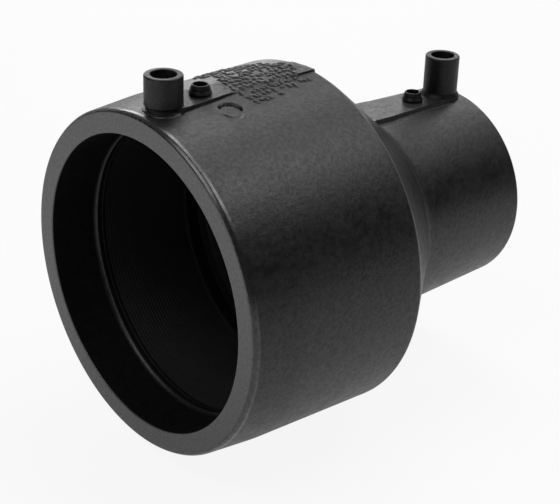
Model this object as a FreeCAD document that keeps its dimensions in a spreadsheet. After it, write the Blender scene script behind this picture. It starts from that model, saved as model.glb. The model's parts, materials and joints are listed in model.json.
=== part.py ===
# Electrofusion pipe reducer: one moulded body, its heating wire, contact pins and indicator pins.
# Frame: +X runs along the pipe axis from the wide mouth at x = 0 to the narrow mouth, and +Z points
# up through the two terminal shrouds. All sizes are in millimetres.
import FreeCAD
import Part
import os
import re

import Sketcher
from FreeCAD import Placement, Rotation, Vector

# Driving sizes, each written once: alias, value, what it measures.
SIZES = [
    ("large_length", 75.0, "wide barrel, mouth to back edge"),
    ("cone_length", 32.0, "cone between the barrels, along the axis"),
    ("small_length", 54.2, "narrow barrel, foot of the cone to its mouth"),
    ("large_bore_radius", 55.4, "wide fusion bore, for 110 mm pipe"),
    ("small_bore_radius", 31.8, "narrow fusion bore, for 63 mm pipe"),
    ("large_wall", 8.7, "wall at the wide mouth, outside the entry zone"),
    ("small_wall", 7.8, "wall at the narrow mouth, outside the entry zone"),
    ("large_lip_flare", 1.8, "growth of the wide barrel's radius over its entry zone"),
    ("large_swell", 1.5, "growth of the wide barrel's radius from the entry zone to its back edge"),
    ("small_swell", 1.7, "growth of the narrow barrel's radius towards the cone"),
    ("large_entry_gap", 0.6, "extra radius of the wide entry zone"),
    ("small_entry_gap", 0.4, "extra radius of the narrow entry zone"),
    ("large_entry_length", 20.5, "wide entry zone, mouth to ledge"),
    ("small_entry_length", 14.0, "narrow entry zone, mouth to ledge"),
    ("large_depth", 70.0, "wide socket, mouth to pipe stop"),
    ("small_depth", 50.0, "narrow socket, mouth to pipe stop"),
    ("large_stop_height", 5.0, "wide pipe stop, radial height of its shoulder"),
    ("neck_radius", 26.5, "flow passage at the narrow pipe stop"),
    ("neck_length", 6.0, "straight run of the passage before the narrow stop"),
    ("large_mouth_round", 2.4, "rounding of the wide mouth's outer edge"),
    ("small_mouth_round", 1.8, "rounding of the narrow mouth's outer edge"),
    ("back_edge_blend", 0.7, "blend at the back edge, along the axis to each side"),
    ("cone_root_blend", 1.3, "blend at the foot of the cone, along the axis to each side"),
    ("strip_half_width", 7.0, "half the width of the raised flat strips"),
    ("strip_rise", 0.4, "height of a strip above the barrel at its middle line"),
    ("strip_runout", 2.2, "narrow strip's end inside the cone, from the cone's foot"),
    ("large_shroud_inset", 11.5, "wide end's terminal axis from its mouth"),
    ("small_shroud_inset", 9.2, "narrow end's terminal axis from its mouth"),
    ("large_shroud_height", 11.1, "wide end's shroud above its strip"),
    ("small_shroud_height", 16.5, "narrow end's shroud above its strip"),
    ("shroud_radius", 6.9, "outside radius of a terminal shroud"),
    ("collar_radius", 7.5, "pad at the foot of a shroud"),
    ("shroud_rim_chamfer", 0.6, "chamfer on a shroud's rim"),
    ("well_radius", 4.7, "inside radius of a terminal shroud"),
    ("well_depth", 15.5, "shroud rim down to the floor around the pin"),
    ("contact_radius", 2.35, "contact pin radius above the well floor"),
    ("shank_radius", 2.8, "contact pin radius inside the wall"),
    ("contact_sink", 4.5, "contact pin top below the shroud's rim"),
    ("contact_chamfer", 0.5, "chamfer on the contact pin's tip"),
    ("indicator_spacing", 16.0, "shroud axis to indicator boss axis"),
    ("boss_height", 4.7, "indicator boss above its strip"),
    ("boss_flange_radius", 3.8, "boss foot flange"),
    ("boss_flange_height", 1.5, "boss foot flange"),
    ("boss_waist_radius", 3.4, "groove above the boss flange"),
    ("boss_waist_height", 0.7, "groove above the boss flange"),
    ("boss_shoulder_radius", 4.1, "widest part of the boss cone"),
    ("boss_rim_radius", 3.05, "boss rim"),
    ("indicator_bore_radius", 2.6, "open bore at the top of a boss"),
    ("indicator_bore_depth", 4.1, "open bore at the top of a boss"),
    ("indicator_head_radius", 2.3, "indicator pin head"),
    ("indicator_head_height", 1.1, "indicator pin head"),
    ("indicator_stem_radius", 1.5, "indicator pin stem"),
    ("indicator_clearance", 0.05, "stem to its hole, on the radius"),
    ("indicator_skin", 1.3, "wall left between the stem's hole and the winding"),
    ("wire_band", 2.0, "radial thickness of a winding of coated wire, turn against turn"),
    ("wire_recess", 0.1, "a winding stays this far behind the fusion bore"),
    ("winding_inset", 3.5, "ledge to the first turn"),
    ("large_winding_length", 39.2, "run of the wide winding along the axis"),
    ("small_winding_length", 28.0, "run of the narrow winding along the axis"),
    ("lead_side", 1.0, "side of the square lead between windings and pins"),
    ("lead_margin", 2.0, "straight run of the lead past a pipe stop"),
    ("mark_from_mouth", 30.5, "round mould mark, centre from the wide mouth"),
    ("mark_radius", 4.0, "round mould mark"),
    ("mark_depth", 0.5, "round mould mark"),
    ("mark_turn", 10.8, "round mould mark, degrees round from the top"),
]

# Sizes that follow from the driving ones.
DERIVED = {
    "large_entry_radius": "large_bore_radius + large_entry_gap",
    "small_entry_radius": "small_bore_radius + small_entry_gap",
    "large_mouth_radius": "large_entry_radius + large_wall",
    "small_mouth_radius": "small_entry_radius + small_wall",
    "large_shoulder_radius": "large_mouth_radius + large_lip_flare",
    "large_back_radius": "large_shoulder_radius + large_swell",
    "small_root_radius": "small_mouth_radius + small_swell",
    "small_foot_x": "large_length + cone_length",
    "total_length": "large_length + cone_length + small_length",
    "large_ledge_x": "large_entry_length",
    "small_ledge_x": "total_length - small_entry_length",
    "small_stop_x": "total_length - small_depth",
    "throat_radius": "large_bore_radius - large_stop_height",
    "large_lip_slope": "large_lip_flare / large_entry_length",
    "small_lip_slope": "small_taper",
    "large_taper": "large_swell / (large_length - large_entry_length)",
    "small_taper": "small_swell / small_length",
    "cone_slope": "(large_back_radius - small_root_radius) / cone_length",
    "large_shroud_x": "large_shroud_inset",
    "small_shroud_x": "total_length - small_shroud_inset",
    "large_indicator_x": "large_shroud_x + indicator_spacing",
    "small_indicator_x": "small_shroud_x - indicator_spacing",
    "large_strip_drop": "large_taper * (large_entry_length - large_shroud_inset)",
    "large_strip_top": "large_shoulder_radius + strip_rise - large_strip_drop",
    "small_strip_top": "small_mouth_radius + small_taper * small_shroud_inset + strip_rise",
    "large_boss_foot": "large_strip_top + large_taper * indicator_spacing",
    "small_boss_foot": "small_strip_top + small_taper * indicator_spacing",
    "large_rim": "large_strip_top + large_shroud_height",
    "small_rim": "small_strip_top + small_shroud_height",
    "large_seat_radius": "large_bore_radius + wire_band",
    "small_seat_radius": "small_bore_radius + wire_band",
    "large_root": "(large_seat_radius + large_mouth_radius) / 2",
    "small_root": "(small_seat_radius + small_mouth_radius) / 2",
    "large_winding_x": "large_ledge_x + winding_inset",
    "small_winding_x": "small_ledge_x - winding_inset - small_winding_length",
    "large_winding_end": "large_winding_x + large_winding_length",
    "small_winding_end": "small_winding_x + small_winding_length",
}

doc = FreeCAD.newDocument("pipe_reducer")
sheet = doc.addObject("Spreadsheet::Sheet", "Sizes")
for row, (alias, value, meaning) in enumerate(SIZES, start=1):
    sheet.set(f"A{row}", meaning)
    sheet.set(f"B{row}", str(value))
    sheet.setAlias(f"B{row}", alias)
doc.recompute()

ALIASES = {alias for alias, _value, _meaning in SIZES}


def formula(words):
    """Turn a size written with plain names into an expression on the sheet's cells."""
    def cell(match):
        name = match.group()
        if name in ("sin", "cos"):
            return name
        if name in DERIVED:
            return f"({formula(DERIVED[name])})"
        if name in ALIASES:
            return f"Sizes.{name}"
        raise KeyError(f"no size is called {name}")
    return re.sub(r"[a-z][a-z_]+", cell, words)


def number(words):
    """Value of a size written with plain names."""
    return float(sheet.evalExpression(formula(words)))


def origin_feature(body, role):
    """A body's own origin plane or axis."""
    return next(item for item in body.Origin.OriginFeatures if item.Role == role)


def new_body(node):
    """A body at the part's origin, labelled with its node's name."""
    body = doc.addObject("PartDesign::Body", node)
    body.Label = node
    body.Placement = Placement(Vector(0, 0, 0), Rotation())
    return body


def hold_corner(sketch, corner, direction, axis_id, words):
    """Fix one coordinate of an outline's corner, on a sketch axis or at a bound distance."""
    if words == "0":
        sketch.addConstraint(Sketcher.Constraint("PointOnObject", corner, 1, axis_id))
        return
    distance = Sketcher.Constraint(direction, -1, 1, corner, 1, number(words))
    index = sketch.addConstraint(distance)
    sketch.setExpression(f"Constraints[{index}]", formula(words))


def outline(body, name, corners, shift="0"):
    """Sketch a closed straight-sided outline on the XZ plane, moved along X by shift."""
    sketch = body.newObject("Sketcher::SketchObject", name)
    sketch.AttachmentSupport = (origin_feature(body, "XZ_Plane"), [""])
    sketch.MapMode = "FlatFace"
    if shift != "0":
        sketch.setExpression("AttachmentOffset.Base.x", formula(shift))
    points = [Vector(number(across), number(up), 0) for across, up in corners]
    sides = [Part.LineSegment(start, end) for start, end in zip(points, points[1:] + points[:1])]
    sketch.addGeometry(sides, False)
    for side in range(len(sides)):
        following = (side + 1) % len(sides)
        sketch.addConstraint(Sketcher.Constraint("Coincident", side, 2, following, 1))
    for corner, (across, up) in enumerate(corners):
        hold_corner(sketch, corner, "DistanceX", -2, across)
        hold_corner(sketch, corner, "DistanceY", -1, up)
    return sketch


def changed(body, feature, grows):
    """Recompute and make sure that a feature changed the body in the direction meant."""
    before = feature.BaseFeature.Shape.Volume if feature.BaseFeature else 0.0
    doc.recompute()
    after = feature.Shape.Volume
    if (after > before) != grows or abs(after - before) < 0.01:
        raise RuntimeError(f"{body.Label}.{feature.Label} changed {before:.2f} to {after:.2f}")
    return feature


def turned(body, name, corners, shift="0", axis="H_Axis", cut=False):
    """Revolve an outline about the pipe axis, or about its own upright axis, to add or cut."""
    sketch = outline(body, f"{name}_outline", corners, shift)
    feature = body.newObject("PartDesign::Groove" if cut else "PartDesign::Revolution", name)
    feature.Profile = sketch
    feature.ReferenceAxis = (sketch, [axis])
    feature.Angle = 360.0
    return changed(body, feature, not cut)


def across_plane(body, name, corners, width, cut=False):
    """Extrude an outline evenly to both sides of the XZ plane, to add or cut."""
    sketch = outline(body, f"{name}_outline", corners)
    feature = body.newObject("PartDesign::Pocket" if cut else "PartDesign::Pad", name)
    feature.Profile = sketch
    feature.SideType = "Symmetric"
    feature.setExpression("Length", formula(width))
    return changed(body, feature, not cut)


# Outlines that the moulded body and the pieces in it share.

def contact_foot(end):
    """Lower outline of a contact pin and of its seat: the shank, from the lead to the well floor."""
    floor = f"{end}_rim - well_depth"
    return [
        ("0", f"{end}_seat_radius"),
        ("shank_radius", f"{end}_seat_radius"),
        ("shank_radius", floor),
    ]


def winding_band(end, inside):
    """Section of the band that a winding fills, from an inner radius out to its seat."""
    return [
        (f"{end}_winding_x", inside),
        (f"{end}_winding_end", inside),
        (f"{end}_winding_end", f"{end}_seat_radius"),
        (f"{end}_winding_x", f"{end}_seat_radius"),
    ]


def lead_run(start_x, end_x, seat_radius):
    """Straight square lead against the outside of a winding's band."""
    low = f"{seat_radius} - lead_side"
    return [(start_x, low), (end_x, low), (end_x, seat_radius), (start_x, seat_radius)]


def bridge_run():
    """Lead from the wide winding, through the cone's wall, to the narrow winding."""
    dip = "large_depth + lead_margin"
    landing = "small_stop_x - lead_margin"
    return [
        ("large_winding_end", "large_seat_radius - lead_side"),
        (dip, "large_seat_radius - lead_side"),
        (landing, "small_seat_radius - lead_side"),
        ("small_winding_x", "small_seat_radius - lead_side"),
        ("small_winding_x", "small_seat_radius"),
        (landing, "small_seat_radius"),
        (dip, "large_seat_radius"),
        ("large_winding_end", "large_seat_radius"),
    ]


LEADS = {
    "large_lead": lead_run("large_shroud_x - shank_radius", "large_winding_x", "large_seat_radius"),
    "bridge_lead": bridge_run(),
    "small_lead": lead_run("small_winding_end", "small_shroud_x + shank_radius", "small_seat_radius"),
}


# Moulded body

def mouth_rounding(end):
    """Corners round a mouth's outer edge, as (depth from the mouth, radius), up to the face."""
    corners = []
    for angle in (0, 45):
        depth = f"{end}_mouth_round * (1 - sin({angle}))"
        drop = f"{end}_mouth_round * (1 - cos({angle}))"
        corners.append((depth, f"{end}_mouth_radius + {end}_lip_slope * {depth} - {drop}"))
    return corners


def add_wall(body):
    """Both sockets, the pipe stops, the cone and the flow passage, turned in one outline."""
    corners = [("0", "large_mouth_radius - large_mouth_round")]
    corners += reversed(mouth_rounding("large"))
    corners += [
        ("large_ledge_x", "large_shoulder_radius"),
        ("large_length - back_edge_blend", "large_back_radius - large_taper * back_edge_blend"),
        ("large_length + back_edge_blend", "large_back_radius - cone_slope * back_edge_blend"),
        ("small_foot_x - cone_root_blend", "small_root_radius + cone_slope * cone_root_blend"),
        ("small_foot_x + cone_root_blend", "small_root_radius - small_taper * cone_root_blend"),
    ]
    corners += [(f"total_length - {depth}", radius) for depth, radius in mouth_rounding("small")]
    corners += [
        ("total_length", "small_mouth_radius - small_mouth_round"),
        ("total_length", "small_entry_radius"),
        ("small_ledge_x", "small_entry_radius"),
        ("small_ledge_x", "small_bore_radius"),
        ("small_stop_x", "small_bore_radius"),
        ("small_stop_x", "neck_radius"),
        ("small_stop_x - neck_length", "neck_radius"),
        ("large_depth", "throat_radius"),
        ("large_depth", "large_bore_radius"),
        ("large_ledge_x", "large_bore_radius"),
        ("large_ledge_x", "large_entry_radius"),
        ("0", "large_entry_radius"),
    ]
    turned(body, "wall", corners)


def add_strips(body):
    """Flat raised strips along the top of each barrel, parallel to the barrel behind its entry zone."""
    across_plane(body, "large_strip", [
        ("large_shroud_x", "large_root"),
        ("large_length", "large_root"),
        ("large_length", "large_back_radius + strip_rise"),
        ("large_shroud_x", "large_strip_top"),
    ], "2 * strip_half_width")
    start = "small_foot_x - strip_runout"
    across_plane(body, "small_strip", [
        (start, "small_root"),
        ("small_shroud_x", "small_root"),
        ("small_shroud_x", "small_strip_top"),
        (start, "small_root_radius + small_taper * strip_runout + strip_rise"),
    ], "2 * strip_half_width")


def add_shroud(body, end):
    """Terminal shroud on a round pad, with the well and the seat of its contact pin."""
    rim = f"{end}_rim"
    turned(body, f"{end}_shroud", [
        ("0", f"{end}_root"),
        ("collar_radius", f"{end}_root"),
        ("collar_radius", f"{end}_strip_top"),
        ("shroud_radius", f"{end}_strip_top"),
        ("shroud_radius", f"{rim} - shroud_rim_chamfer"),
        ("shroud_radius - shroud_rim_chamfer", rim),
        ("0", rim),
    ], f"{end}_shroud_x", "V_Axis")
    well = contact_foot(end)
    well += [("well_radius", f"{rim} - well_depth"), ("well_radius", rim), ("0", rim)]
    turned(body, f"{end}_well", well, f"{end}_shroud_x", "V_Axis", cut=True)


def add_indicator_boss(body, end):
    """Waisted boss beside a shroud, with its open bore and the indicator stem's hole."""
    foot = f"{end}_boss_foot"
    top = f"{foot} + boss_height"
    waist_low = f"{foot} + boss_flange_height"
    waist_top = f"{waist_low} + boss_waist_height"
    turned(body, f"{end}_boss", [
        ("0", f"{end}_root"),
        ("boss_flange_radius", f"{end}_root"),
        ("boss_flange_radius", waist_low),
        ("boss_waist_radius", waist_low),
        ("boss_waist_radius", waist_top),
        ("boss_shoulder_radius", waist_top),
        ("boss_rim_radius", top),
        ("0", top),
    ], f"{end}_indicator_x", "V_Axis")
    floor = f"{top} - indicator_bore_depth"
    turned(body, f"{end}_indicator_seat", [
        ("0", f"{end}_seat_radius + indicator_skin"),
        ("indicator_stem_radius + indicator_clearance", f"{end}_seat_radius + indicator_skin"),
        ("indicator_stem_radius + indicator_clearance", floor),
        ("indicator_bore_radius", floor),
        ("indicator_bore_radius", top),
        ("0", top),
    ], f"{end}_indicator_x", "V_Axis", cut=True)


def cut_winding_seat(body, end):
    """Ring-shaped seat in a fusion bore for the winding."""
    inside = f"{end}_bore_radius - wire_band"
    turned(body, f"{end}_winding_seat", winding_band(end, inside), cut=True)


def cut_mould_mark(body):
    """Shallow round recess beside the wide strip, square to the barrel's side."""
    sketch = body.newObject("Sketcher::SketchObject", "mould_mark_outline")
    sketch.AttachmentSupport = (origin_feature(body, "XY_Plane"), [""])
    sketch.MapMode = "FlatFace"
    lift = "large_shoulder_radius + large_taper * (mark_from_mouth - large_entry_length)"
    sketch.AttachmentOffset = Placement(Vector(0, 0, 0), Rotation(Vector(1, 0, 0), number("mark_turn")))
    sketch.setExpression("AttachmentOffset.Rotation.Angle", formula("mark_turn"))
    sketch.setExpression("AttachmentOffset.Base.y", f"-({formula(lift)}) * sin(Sizes.mark_turn)")
    sketch.setExpression("AttachmentOffset.Base.z", f"({formula(lift)}) * cos(Sizes.mark_turn)")
    centre = Vector(number("mark_from_mouth"), 0, 0)
    sketch.addGeometry(Part.Circle(centre, Vector(0, 0, 1), number("mark_radius")), False)
    sketch.addConstraint(Sketcher.Constraint("PointOnObject", 0, 3, -1))
    along = sketch.addConstraint(Sketcher.Constraint("DistanceX", -1, 1, 0, 3, number("mark_from_mouth")))
    size = sketch.addConstraint(Sketcher.Constraint("Radius", 0, number("mark_radius")))
    sketch.setExpression(f"Constraints[{along}]", formula("mark_from_mouth"))
    sketch.setExpression(f"Constraints[{size}]", formula("mark_radius"))
    pocket = body.newObject("PartDesign::Pocket", "mould_mark")
    pocket.Profile = sketch
    pocket.SideType = "Symmetric"
    pocket.setExpression("Length", formula("2 * mark_depth"))
    changed(body, pocket, False)


def fitting_body():
    """The one-piece moulding."""
    body = new_body("fitting_body")
    add_wall(body)
    add_strips(body)
    for end in ("large", "small"):
        add_shroud(body, end)
        add_indicator_boss(body, end)
    for end in ("large", "small"):
        cut_winding_seat(body, end)
    for name, corners in LEADS.items():
        across_plane(body, f"{name}_channel", corners, "lead_side", cut=True)
    cut_mould_mark(body)
    return body


# Pieces in the body

def heating_wire():
    """One coated wire: a winding in each socket, the lead between them and a lead to each pin."""
    body = new_body("heating_wire")
    turned(body, "large_winding", winding_band("large", "large_bore_radius + wire_recess"))
    across_plane(body, "bridge_lead", LEADS["bridge_lead"], "lead_side")
    turned(body, "small_winding", winding_band("small", "small_bore_radius + wire_recess"))
    across_plane(body, "large_lead", LEADS["large_lead"], "lead_side")
    across_plane(body, "small_lead", LEADS["small_lead"], "lead_side")
    return body


def terminal_pin(end):
    """Contact pin with a wide shank moulded into the wall and a chamfered tip."""
    body = new_body(f"terminal_pin_{end}")
    tip = f"{end}_rim - contact_sink"
    corners = contact_foot(end)
    corners.append(("contact_radius", f"{end}_rim - well_depth"))
    corners.append(("contact_radius", f"{tip} - contact_chamfer"))
    corners.append(("contact_radius - contact_chamfer", tip))
    corners.append(("0", tip))
    turned(body, "pin", corners, f"{end}_shroud_x", "V_Axis")
    return body


def indicator_pin(end):
    """Headed pin that rises in the boss when the joint is hot."""
    body = new_body(f"indicator_pin_{end}")
    seat = f"{end}_boss_foot + boss_height - indicator_bore_depth"
    head = f"{seat} + indicator_head_height"
    stem = f"{end}_seat_radius + indicator_skin"
    turned(body, "pin", [
        ("0", stem),
        ("indicator_stem_radius", stem),
        ("indicator_stem_radius", seat),
        ("indicator_head_radius", seat),
        ("indicator_head_radius", head),
        ("0", head),
    ], f"{end}_indicator_x", "V_Axis")
    return body


def check(bodies):
    """Stop if any object failed to compute or any piece isn't one valid solid."""
    failed = [item.Label for item in doc.Objects if {"Invalid", "Error"} & set(item.State)]
    if failed:
        raise RuntimeError(f"failed objects: {failed}")
    for body in bodies:
        shape = body.Shape
        if shape.isNull() or not shape.isValid() or len(shape.Solids) != 1:
            raise RuntimeError(f"{body.Label} is not one valid solid")


pieces = [fitting_body(), heating_wire()]
for side in ("large", "small"):
    pieces.append(terminal_pin(side))
    pieces.append(indicator_pin(side))
doc.recompute()
check(pieces)

os.makedirs("parts", exist_ok=True)
for piece in pieces:
    piece.Shape.exportStep(f"parts/{piece.Label}.step")
    print(piece.Label, f"{piece.Shape.Volume:.1f} mm3", piece.Shape.BoundBox)
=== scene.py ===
"""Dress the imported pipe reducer: moulded body, windings, raised marks, pins and a plain studio.

The frame is the solids' own: +X runs along the pipe axis from the wide mouth at x = 0, and +Z
points up through the two terminal shrouds. Sizes are written in millimetres and become metres
when a mesh is made.
"""

import json
import logging
import math
from dataclasses import dataclass
from enum import Enum, IntEnum

import bpy
import numpy as np
from bpy.types import Material, Node, NodeSocket, NodeTree, Object
from mathutils import Matrix, Vector

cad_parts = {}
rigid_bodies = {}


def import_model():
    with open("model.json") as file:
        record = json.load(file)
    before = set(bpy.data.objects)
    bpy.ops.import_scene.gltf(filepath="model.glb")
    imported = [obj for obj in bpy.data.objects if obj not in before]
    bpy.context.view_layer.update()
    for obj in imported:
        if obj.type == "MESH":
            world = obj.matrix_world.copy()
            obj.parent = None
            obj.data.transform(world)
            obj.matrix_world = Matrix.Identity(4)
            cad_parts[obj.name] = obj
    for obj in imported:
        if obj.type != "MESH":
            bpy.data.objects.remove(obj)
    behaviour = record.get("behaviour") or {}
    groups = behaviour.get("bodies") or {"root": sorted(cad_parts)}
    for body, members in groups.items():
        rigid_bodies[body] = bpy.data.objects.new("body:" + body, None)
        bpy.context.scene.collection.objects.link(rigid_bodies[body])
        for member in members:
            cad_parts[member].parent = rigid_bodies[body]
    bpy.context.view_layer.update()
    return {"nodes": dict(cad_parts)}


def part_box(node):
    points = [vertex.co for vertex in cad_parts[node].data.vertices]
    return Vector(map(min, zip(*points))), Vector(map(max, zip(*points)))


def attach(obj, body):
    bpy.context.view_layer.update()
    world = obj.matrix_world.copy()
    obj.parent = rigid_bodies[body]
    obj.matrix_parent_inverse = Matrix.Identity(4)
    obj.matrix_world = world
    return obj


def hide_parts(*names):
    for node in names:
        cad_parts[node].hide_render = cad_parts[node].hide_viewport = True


LOG = logging.getLogger("reducer")
MM = 0.001
BODY = "root"
LEAST_TURN, ARC_STEP = 0.01, 0.26

Array = np.ndarray
Pair, Triple = tuple[float, float], tuple[float, float, float]
Corner = tuple[float, float, float, int]


def empty_scene() -> None:
    """Remove the objects that a new file starts with."""
    for item in list(bpy.data.objects):
        bpy.data.objects.remove(item)


empty_scene()
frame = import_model()


# ---- Surfaces

def rounded_loop(corners: list[Corner]) -> Array:
    """Sample a closed outline whose corners are rounded by arcs.

    A corner with rounding radius q and turning angle a is left q tan(a / 2) before it and joined
    again as far after it, by points centre + q (cos t, sin t) with t even between the two tangents.
    The straight run that follows is divided evenly.

    Args:
        corners: For each corner its two coordinates, its rounding radius, and the number of
            divisions of the run to the next corner.

    Returns:
        The outline's points in order, without repeating the first.
    """
    places = np.array([corner[:2] for corner in corners], float)
    arcs = []
    for index, (*_place, radius, _divisions) in enumerate(corners):
        here = places[index]
        before = places[index - 1] - here
        after = places[(index + 1) % len(places)] - here
        before /= np.linalg.norm(before)
        after /= np.linalg.norm(after)
        turn = math.pi - math.acos(float(np.clip(before @ after, -1, 1)))
        if radius == 0 or turn < LEAST_TURN:
            arcs.append(here[None, :])
            continue
        reach = radius * math.tan(turn / 2)
        start, end = here + before * reach, here + after * reach
        middle = before + after
        centre = here + middle / np.linalg.norm(middle) * radius / math.cos(turn / 2)
        steps = max(3, math.ceil(turn / ARC_STEP))
        share = np.linspace(0, 1, steps + 1)[:, None]
        first, last = start - centre, end - centre
        slerp = (np.sin((1 - share) * turn) * first + np.sin(share * turn) * last) / math.sin(turn)
        arcs.append(centre + slerp)
    runs = []
    for index, (*_place, divisions) in enumerate(corners):
        runs.append(arcs[index])
        start, end = arcs[index][-1], arcs[(index + 1) % len(arcs)][0]
        share = np.arange(1, divisions)[:, None] / max(divisions, 1)
        runs.append(start + (end - start) * share)
    return np.concatenate(runs)


def ring_mesh(name: str, grid: Array) -> Object:
    """Make a closed mesh from a grid of points that wraps round in both directions.

    Each cell of the grid, from row i and column j to row i + 1 and column j + 1, is one face.

    Args:
        name: The piece's name.
        grid: Points in millimetres, rows by columns by three.

    Returns:
        The new object, at the origin, with smooth faces.
    """
    here = np.arange(grid[..., 0].size).reshape(grid.shape[:2])
    below = np.roll(here, -1, axis=0)
    corners = [here, below, np.roll(below, -1, axis=1), np.roll(here, -1, axis=1)]
    return polygon_mesh(name, grid.reshape(-1, 3), np.stack(corners, axis=-1).reshape(-1, 4))


def new_object(name: str, data: bpy.types.ID) -> Object:
    """Put an object into the scene.

    Args:
        name: Its name.
        data: Its mesh, camera or light.

    Returns:
        The object.
    """
    item = bpy.data.objects.new(name, data)
    bpy.context.scene.collection.objects.link(item)
    return item


def polygon_mesh(name: str, points: Array, faces: Array) -> Object:
    """Make a mesh from points and faces of four corners that enclose a volume.

    The faces are turned round if that volume comes out negative. It has the sign of the sum of
    p . (q x r) over the faces' triangles.

    Args:
        name: The piece's name.
        points: Points in millimetres.
        faces: Indices of each face's corners.

    Returns:
        The new object, at the origin, with smooth faces that point outwards.
    """
    first, second, third, fourth = (points[faces[:, corner]] for corner in range(4))
    if (first * (np.cross(second, third) + np.cross(third, fourth))).sum() < 0:
        faces = faces[:, ::-1]
    mesh = bpy.data.meshes.new(name)
    mesh.vertices.add(len(points))
    mesh.vertices.foreach_set("co", (points * MM).astype(np.float32).ravel())
    mesh.loops.add(faces.size)
    mesh.loops.foreach_set("vertex_index", np.ascontiguousarray(faces, np.int32).ravel())
    mesh.polygons.add(len(faces))
    mesh.polygons.foreach_set("loop_start", np.arange(0, faces.size, 4, dtype=np.int32))
    mesh.polygons.foreach_set("use_smooth", np.ones(len(faces), bool))
    mesh.update(calc_edges=True)
    mesh.validate()
    return new_object(name, mesh)


def upright_ring(profile: Array, centre_x: float, columns: int) -> Array:
    """Turn a profile about an upright axis: (x + d cos t, d sin t, z) for each profile point (d, z).

    Args:
        profile: Distances from the axis and heights.
        centre_x: Where the axis stands on the pipe axis.
        columns: Number of steps round the axis.

    Returns:
        The grid of points, profile points by steps by three.
    """
    turn = np.linspace(0, math.tau, columns, endpoint=False)[None, :]
    distance, height = profile[:, :1], profile[:, 1:]
    x, y = centre_x + distance * np.cos(turn), distance * np.sin(turn)
    return np.stack([x, y, height + 0 * turn], axis=-1)


def ease(value: Array, low: Array | float, high: Array | float) -> Array:
    """Smooth step from 0 at low to 1 at high: 3 s^2 - 2 s^3 of the clipped share s."""
    share = np.clip((value - low) / (high - low), 0, 1)
    return share * share * (3 - 2 * share)


def hump(value: Array, middle: float, half: float) -> Array:
    """Parabola 1 - ((v - m) / h)^2 about a middle m, and 0 beyond the half width h."""
    return np.maximum(1 - ((value - middle) / half) ** 2, 0)


def direction(heading: float, elevation: float = 0.0) -> Vector:
    """(sin h cos e, cos h cos e, sin e) of a heading h from +Y and an elevation e, in degrees."""
    turn, lift = math.radians(heading), math.radians(elevation)
    return Vector((math.sin(turn) * math.cos(lift), math.cos(turn) * math.cos(lift), math.sin(lift)))


# ---- Finishes

class Slot(Enum):
    """The record's material slots."""

    BODY = "black_polyethylene"
    WIRE = "wire_coating"
    BRASS = "contact_brass"
    INDICATOR = "indicator_plastic"


class NodeBoard:
    """A node tree with short calls to add and join nodes."""

    def __init__(self, tree: NodeTree) -> None:
        """Keep a material's, world's or group's tree and clear it."""
        self.tree = tree
        tree.nodes.clear()

    def add(self, kind: str, settings: dict | None = None, **inputs: object) -> Node:
        """Add a node.

        Args:
            kind: The node's type name.
            settings: Values for the node's own properties.
            inputs: Values or output sockets for its inputs, with _ for a space in a name.

        Returns:
            The new node.
        """
        node = self.tree.nodes.new(kind)
        for name, value in (settings or {}).items():
            setattr(node, name, value)
        for name, value in inputs.items():
            self.feed(node, name.replace("_", " "), value)
        return node

    def feed(self, node: Node, socket: str | int, value: object) -> None:
        """Join an output to an input, or set the input's value."""
        if isinstance(value, NodeSocket):
            self.tree.links.new(value, node.inputs[socket])
        else:
            node.inputs[socket].default_value = value

    def math(self, operation: str, first: object, second: object = 0.0) -> NodeSocket:
        """Combine two values and give the result's socket."""
        node = self.add("ShaderNodeMath", {"operation": operation})
        self.feed(node, 0, first)
        self.feed(node, 1, second)
        return node.outputs[0]

    def span(self, value: object, low: float, high: float, first: object, last: object) -> NodeSocket:
        """Map a value's range from low to high onto one from first to last, clamped."""
        node = self.add("ShaderNodeMapRange", Value=value, From_Min=low, From_Max=high, To_Min=first,
                        To_Max=last)
        return node.outputs["Result"]

    def noise(self, place: NodeSocket, scale: object, detail: float, roughness: float = 0.5,
              distortion: float = 0.0) -> NodeSocket:
        """Add a noise and give its value's socket."""
        node = self.add("ShaderNodeTexNoise", Vector=place, Scale=scale, Detail=detail,
                        Roughness=roughness, Distortion=distortion)
        return node.outputs[0]

    def along(self, place: NodeSocket, way: Vector) -> NodeSocket:
        """Distance of a place along a direction: their dot product."""
        node = self.add("ShaderNodeVectorMath", {"operation": "DOT_PRODUCT"})
        self.feed(node, 0, place)
        self.feed(node, 1, way)
        return node.outputs["Value"]

    def tint(self, share: object, first: Triple, second: Triple) -> NodeSocket:
        """Blend two colours by a share and give the result's socket."""
        node = self.add("ShaderNodeMix", {"data_type": "RGBA"})
        self.feed(node, 0, share)
        self.feed(node, 6, (*first, 1.0))
        self.feed(node, 7, (*second, 1.0))
        return node.outputs[2]


def new_group(name: str, inputs: dict[str, str],
              outputs: dict[str, str]) -> tuple[NodeTree, NodeBoard, Node, Node]:
    """Start a shader node group.

    Args:
        name: The group's name.
        inputs: Input names and their socket types.
        outputs: Output names and their socket types.

    Returns:
        The group, its board, its input node and its output node.
    """
    group = bpy.data.node_groups.new(name, "ShaderNodeTree")
    for side, sockets in (("INPUT", inputs), ("OUTPUT", outputs)):
        for socket, kind in sockets.items():
            group.interface.new_socket(socket, in_out=side, socket_type=kind)
    board = NodeBoard(group)
    return group, board, board.add("NodeGroupInput"), board.add("NodeGroupOutput")


def new_material(name: str) -> tuple[Material, NodeBoard, NodeSocket]:
    """Start a material.

    Args:
        name: The material's name.

    Returns:
        The material, its board and its Object coordinates.
    """
    made = bpy.data.materials.new(name)
    made.use_nodes = True
    board = NodeBoard(made.node_tree)
    return made, board, board.add("ShaderNodeTexCoord").outputs["Object"]


VALUE, VECTOR = "NodeSocketFloat", "NodeSocketVector"
CLOUD_FINENESS, FLECK_FINENESS, GRAIN_SHARE = 0.35, 1.7, 0.45


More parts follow.
